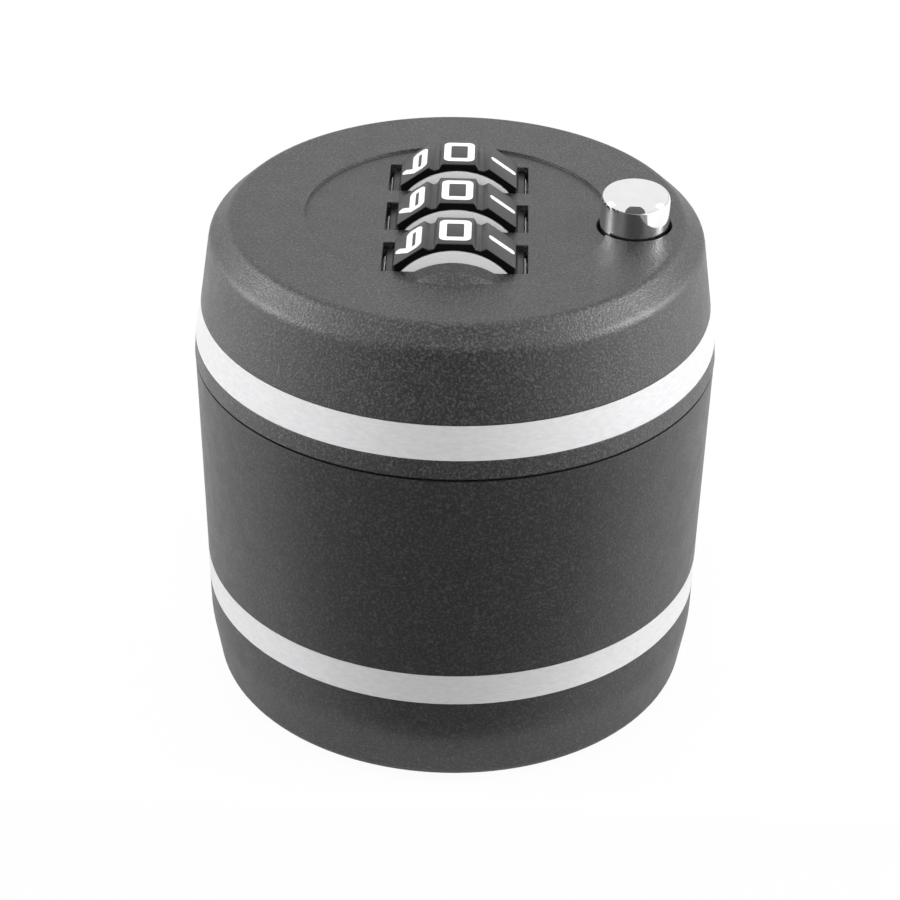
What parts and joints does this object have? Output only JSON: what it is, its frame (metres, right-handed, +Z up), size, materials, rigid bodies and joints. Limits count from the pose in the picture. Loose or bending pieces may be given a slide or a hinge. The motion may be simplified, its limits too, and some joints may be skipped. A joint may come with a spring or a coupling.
{
  "type": "bottle neck combination lock",
  "caption": "Round combination lock that slips over a bottle's neck: fixed head with number dials and release button, turning sleeve that closes padded jaws.",
  "frame": {"origin": "centre of the resting face under the sleeve", "axes": "+Z up along the centre line, the front with the dial fairing faces -Y, the release button stands at +X"},
  "size_m": [0.06, 0.06, 0.0632],
  "materials": {
    "black_shell": "fine spark-eroded grain",
    "black_sleeve": "fine grain, a little smoother than the head",
    "silver_band": "satin",
    "gray_moulding": "moulded",
    "black_ring": "moulded",
    "dial_black": "moulded, slight sheen",
    "hub_gray": "moulded",
    "chrome": "polished plating",
    "steel": "machined",
    "spring_steel": "drawn",
    "zinc": "die cast",
    "brass": "turned",
    "acetal": "moulded",
    "numeral_white": "paint in raised numerals",
    "rubber": "moulded, ribbed"
  },
  "bodies": {
    "head": {"head_shell": "black_shell", "upper_band": "silver_band", "lock_chassis": "gray_moulding", "dial_axle": "steel", "detent_spring": "spring_steel", "code_comb": "acetal", "comb_spring": "spring_steel", "button_spring": "spring_steel", "leaf_pawl": "spring_steel", "pawl_rivet": "brass", "neck_core": "gray_moulding", "neck_cushion": "rubber", "jaw_guide": "gray_moulding", "mouth_ring": "black_ring", "chassis_screws": "steel", "core_screws": "steel"},
    "dial_1": {"dial_ring_1": "dial_black", "dial_hub_1": "hub_gray"},
    "dial_2": {"dial_ring_2": "dial_black", "dial_hub_2": "hub_gray"},
    "dial_3": {"dial_ring_3": "dial_black", "dial_hub_3": "hub_gray"},
    "button": {"button_cap": "chrome", "button_plunger": "dial_black"},
    "release_pin_body": {"release_pin": "steel"},
    "sleeve": {"sleeve_shell": "black_sleeve", "lower_band": "silver_band", "cam_plate": "steel", "ratchet_ring": "steel"},
    "jaw_1_body": {"jaw_1": "zinc", "jaw_pad_1": "rubber"},
    "jaw_2_body": {"jaw_2": "zinc", "jaw_pad_2": "rubber"},
    "jaw_3_body": {"jaw_3": "zinc", "jaw_pad_3": "rubber"}
  },
  "joints": [
    {"name": "dial_1_turn", "type": "hinge", "parent": "head", "child": "dial_1", "pos_m": [0, 0.0092, 0.0535], "axis": [0, 1, 0], "continuous": true, "deforming": ["detent_spring"]},
    {"name": "dial_2_turn", "type": "hinge", "parent": "head", "child": "dial_2", "pos_m": [0, -0.0006, 0.0535], "axis": [0, 1, 0], "continuous": true, "deforming": ["detent_spring"]},
    {"name": "dial_3_turn", "type": "hinge", "parent": "head", "child": "dial_3", "pos_m": [0, -0.0104, 0.0535], "axis": [0, 1, 0], "continuous": true, "deforming": ["detent_spring"]},
    {"name": "button_press", "type": "slide", "parent": "head", "child": "button", "axis": [0, 0, -1], "range_m": [0, 0.0022], "stiffness_N_per_m": 300, "springref_m": -0.002, "deforming": ["button_spring"]},
    {"name": "release_push", "type": "slide", "parent": "head", "child": "release_pin_body", "axis": [0, 0, -1], "range_m": [0, 0.0018], "stiffness_N_per_m": 300, "springref_m": -0.002, "deforming": ["leaf_pawl"]},
    {"name": "sleeve_turn", "type": "hinge", "parent": "head", "child": "sleeve", "pos_m": [0, 0, 0], "axis": [0, 0, 1], "range_deg": [0, 75], "deforming": ["leaf_pawl"]},
    {"name": "jaw_1_slide", "type": "slide", "parent": "head", "child": "jaw_1_body", "axis": [-1, 0, 0], "range_m": [0, 0.0033]},
    {"name": "jaw_2_slide", "type": "slide", "parent": "head", "child": "jaw_2_body", "axis": [0.5, -0.866, 0], "range_m": [0, 0.0033]},
    {"name": "jaw_3_slide", "type": "slide", "parent": "head", "child": "jaw_3_body", "axis": [0.5, 0.866, 0], "range_m": [0, 0.0033]}
  ],
  "couplings": [
    {"joint": "jaw_1_slide", "follows": "sleeve_turn", "m_per_rad": 0.002521},
    {"joint": "jaw_2_slide", "follows": "sleeve_turn", "m_per_rad": 0.002521},
    {"joint": "jaw_3_slide", "follows": "sleeve_turn", "m_per_rad": 0.002521}
  ]
}
